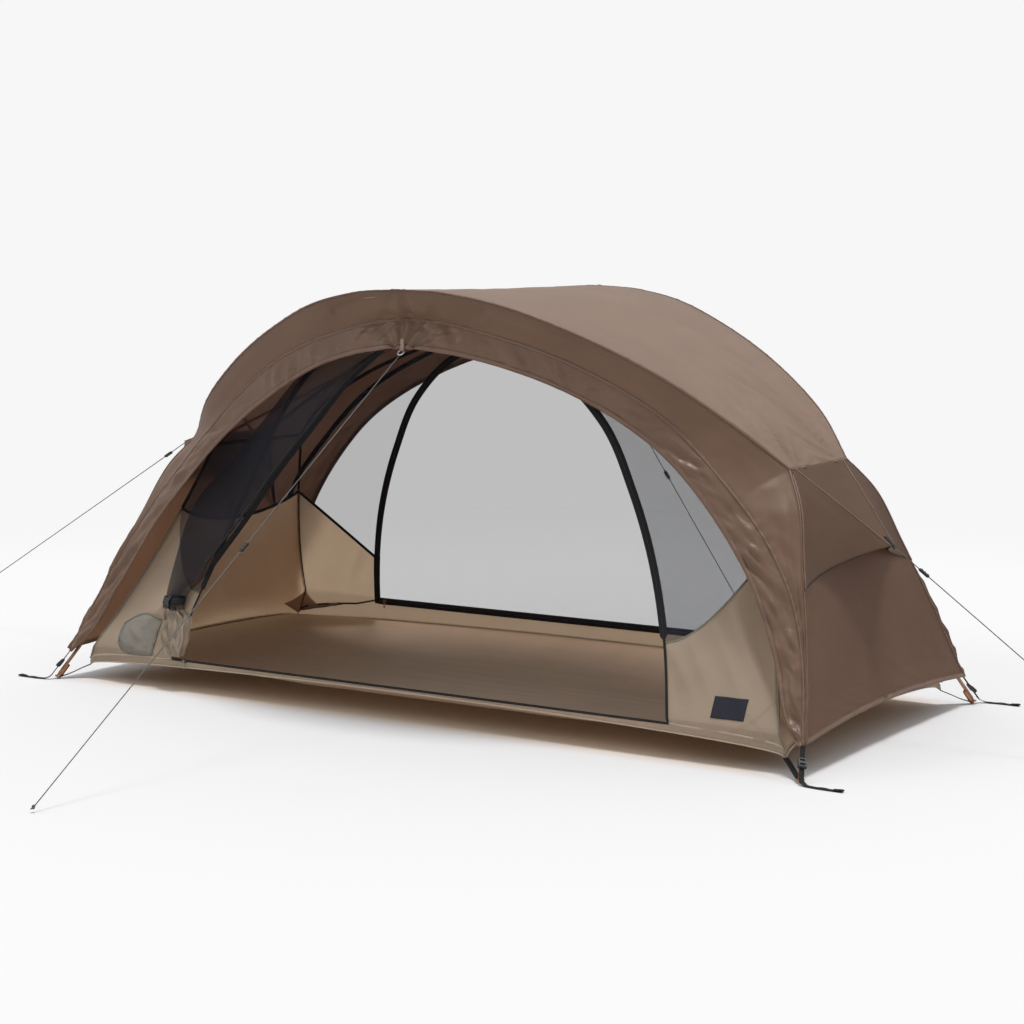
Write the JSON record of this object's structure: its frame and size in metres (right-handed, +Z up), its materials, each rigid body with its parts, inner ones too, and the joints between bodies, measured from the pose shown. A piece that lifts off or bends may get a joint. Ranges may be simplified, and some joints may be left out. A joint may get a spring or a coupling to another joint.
{
  "type": "cot tent",
  "caption": "Low one-person tent with two crossing hoops, a fly with open hoods, a mesh inner tent and taut guylines.",
  "frame": {"origin": "centre of the pitched tent on the ground, midway between its four pole feet", "axes": "+X along the tent's length, -Y out of the open front door, +Z up"},
  "size_m": [3.3493, 2.8087, 1.0575],
  "materials": {
    "corner_strap_front_left": "polyester webbing, cord or tape",
    "corner_strap_front_right": "polyester webbing, cord or tape",
    "corner_strap_rear_left": "polyester webbing, cord or tape",
    "corner_strap_rear_right": "polyester webbing, cord or tape",
    "door_tie": "polyester webbing, cord or tape",
    "door_tie_buckle": "moulded nylon",
    "floor_tub": "coated floor fabric",
    "fly_front_hood": "coated ripstop polyester",
    "fly_left_end": "coated ripstop polyester",
    "fly_left_vent": "coated ripstop polyester",
    "fly_rear_hood": "coated ripstop polyester",
    "fly_right_end": "coated ripstop polyester",
    "fly_right_vent": "coated ripstop polyester",
    "fly_roof": "coated ripstop polyester",
    "foot_strap_front_left": "polyester webbing, cord or tape",
    "foot_strap_front_right": "polyester webbing, cord or tape",
    "foot_strap_rear_left": "polyester webbing, cord or tape",
    "foot_strap_rear_right": "polyester webbing, cord or tape",
    "front_door_roll": "fine black insect mesh",
    "front_guy_ring": "bent wire",
    "front_hoop_crown": "anodised tube",
    "front_hoop_leg_left": "anodised tube",
    "front_hoop_leg_right": "anodised tube",
    "front_zip_puller": "zinc alloy",
    "front_zip_slider": "zinc alloy",
    "front_zip_track": "polyester webbing, cord or tape",
    "gear_pocket": "woven polyester",
    "guy_adjuster_front": "moulded nylon",
    "guy_adjuster_left": "moulded nylon",
    "guy_adjuster_rear": "moulded nylon",
    "guy_adjuster_right": "moulded nylon",
    "guyline_front": "polyester webbing, cord or tape",
    "guyline_left": "polyester webbing, cord or tape",
    "guyline_rear": "polyester webbing, cord or tape",
    "guyline_right": "polyester webbing, cord or tape",
    "inner_front_left_mesh": "fine black insect mesh",
    "inner_front_left_panel": "woven polyester",
    "inner_front_right_mesh": "fine black insect mesh",
    "inner_front_right_panel": "woven polyester",
    "inner_left_mesh": "fine black insect mesh",
    "inner_left_wall": "woven polyester",
    "inner_rear_left_mesh": "fine black insect mesh",
    "inner_rear_left_panel": "woven polyester",
    "inner_rear_right_mesh": "fine black insect mesh",
    "inner_rear_right_panel": "woven polyester",
    "inner_right_mesh": "fine black insect mesh",
    "inner_right_wall": "woven polyester",
    "inner_roof_mesh": "fine black insect mesh",
    "ladder_lock_front_left": "moulded nylon",
    "ladder_lock_front_right": "moulded nylon",
    "ladder_lock_rear_left": "moulded nylon",
    "ladder_lock_rear_right": "moulded nylon",
    "rear_door_mesh": "fine black insect mesh",
    "rear_hoop_crown": "anodised tube",
    "rear_hoop_leg_left": "anodised tube",
    "rear_hoop_leg_right": "anodised tube",
    "rear_zip_puller": "zinc alloy",
    "rear_zip_slider": "zinc alloy",
    "rear_zip_track": "polyester webbing, cord or tape",
    "woven_patch": "woven patch"
  },
  "bodies": {
    "tent": {"corner_strap_front_left": "corner_strap_front_left", "corner_strap_front_right": "corner_strap_front_right", "corner_strap_rear_left": "corner_strap_rear_left", "corner_strap_rear_right": "corner_strap_rear_right", "door_tie": "door_tie", "door_tie_buckle": "door_tie_buckle", "floor_tub": "floor_tub", "fly_front_hood": "fly_front_hood", "fly_left_end": "fly_left_end", "fly_left_vent": "fly_left_vent", "fly_rear_hood": "fly_rear_hood", "fly_right_end": "fly_right_end", "fly_right_vent": "fly_right_vent", "fly_roof": "fly_roof", "foot_strap_front_left": "foot_strap_front_left", "foot_strap_front_right": "foot_strap_front_right", "foot_strap_rear_left": "foot_strap_rear_left", "foot_strap_rear_right": "foot_strap_rear_right", "front_door_roll": "front_door_roll", "front_guy_ring": "front_guy_ring", "front_hoop_crown": "front_hoop_crown", "front_hoop_leg_left": "front_hoop_leg_left", "front_hoop_leg_right": "front_hoop_leg_right", "front_zip_track": "front_zip_track", "gear_pocket": "gear_pocket", "guyline_front": "guyline_front", "guyline_left": "guyline_left", "guyline_rear": "guyline_rear", "guyline_right": "guyline_right", "inner_front_left_mesh": "inner_front_left_mesh", "inner_front_left_panel": "inner_front_left_panel", "inner_front_right_mesh": "inner_front_right_mesh", "inner_front_right_panel": "inner_front_right_panel", "inner_left_mesh": "inner_left_mesh", "inner_left_wall": "inner_left_wall", "inner_rear_left_mesh": "inner_rear_left_mesh", "inner_rear_left_panel": "inner_rear_left_panel", "inner_rear_right_mesh": "inner_rear_right_mesh", "inner_rear_right_panel": "inner_rear_right_panel", "inner_right_mesh": "inner_right_mesh", "inner_right_wall": "inner_right_wall", "inner_roof_mesh": "inner_roof_mesh", "rear_door_mesh": "rear_door_mesh", "rear_hoop_crown": "rear_hoop_crown", "rear_hoop_leg_left": "rear_hoop_leg_left", "rear_hoop_leg_right": "rear_hoop_leg_right", "rear_zip_track": "rear_zip_track", "woven_patch": "woven_patch"},
    "lock_front_left": {"ladder_lock_front_left": "ladder_lock_front_left"},
    "lock_front_right": {"ladder_lock_front_right": "ladder_lock_front_right"},
    "lock_rear_left": {"ladder_lock_rear_left": "ladder_lock_rear_left"},
    "lock_rear_right": {"ladder_lock_rear_right": "ladder_lock_rear_right"},
    "adjuster_front": {"guy_adjuster_front": "guy_adjuster_front"},
    "adjuster_rear": {"guy_adjuster_rear": "guy_adjuster_rear"},
    "adjuster_left": {"guy_adjuster_left": "guy_adjuster_left"},
    "adjuster_right": {"guy_adjuster_right": "guy_adjuster_right"},
    "front_slider": {"front_zip_slider": "front_zip_slider"},
    "front_puller": {"front_zip_puller": "front_zip_puller"},
    "rear_slider": {"rear_zip_slider": "rear_zip_slider"},
    "rear_puller": {"rear_zip_puller": "rear_zip_puller"}
  },
  "joints": [
    {"name": "lock_slide_front_left", "type": "slide", "parent": "tent", "child": "lock_front_left", "axis": [-0.269, -0.6173, -0.7393], "range_m": [-0.012, 0.012]},
    {"name": "lock_slide_front_right", "type": "slide", "parent": "tent", "child": "lock_front_right", "axis": [0.269, -0.6173, -0.7393], "range_m": [-0.012, 0.012]},
    {"name": "lock_slide_rear_left", "type": "slide", "parent": "tent", "child": "lock_rear_left", "axis": [-0.269, 0.6173, -0.7393], "range_m": [-0.012, 0.012]},
    {"name": "lock_slide_rear_right", "type": "slide", "parent": "tent", "child": "lock_rear_right", "axis": [0.269, 0.6173, -0.7393], "range_m": [-0.012, 0.012]},
    {"name": "adjuster_slide_front", "type": "slide", "parent": "tent", "child": "adjuster_front", "axis": [-0.0779, -0.7868, -0.6122], "range_m": [-0.45, 0.45]},
    {"name": "adjuster_slide_rear", "type": "slide", "parent": "tent", "child": "adjuster_rear", "axis": [0.1168, 0.6355, -0.7632], "range_m": [-0.45, 0.55]},
    {"name": "adjuster_slide_left", "type": "slide", "parent": "tent", "child": "adjuster_left", "axis": [-0.8669, 0, -0.4985], "range_m": [-0.03, 0.6]},
    {"name": "adjuster_slide_right", "type": "slide", "parent": "tent", "child": "adjuster_right", "axis": [0.8061, 0, -0.5918], "range_m": [-0.04, 0.28]},
    {"name": "front_zip_slide", "type": "slide", "parent": "tent", "child": "front_slider", "axis": [1, 0, 0], "range_m": [0, 1.4]},
    {"name": "rear_zip_slide", "type": "slide", "parent": "tent", "child": "rear_slider", "axis": [1, 0, 0], "range_m": [0, 1.4]},
    {"name": "front_puller_swing", "type": "hinge", "parent": "front_slider", "child": "front_puller", "pos_m": [-0.7, -0.4617, 0.083], "axis": [-1, 0, 0], "range_deg": [0, 80]},
    {"name": "rear_puller_swing", "type": "hinge", "parent": "rear_slider", "child": "rear_puller", "pos_m": [-0.705, 0.4409, 0.121], "axis": [-1, 0, 0], "range_deg": [0, 80]}
  ]
}
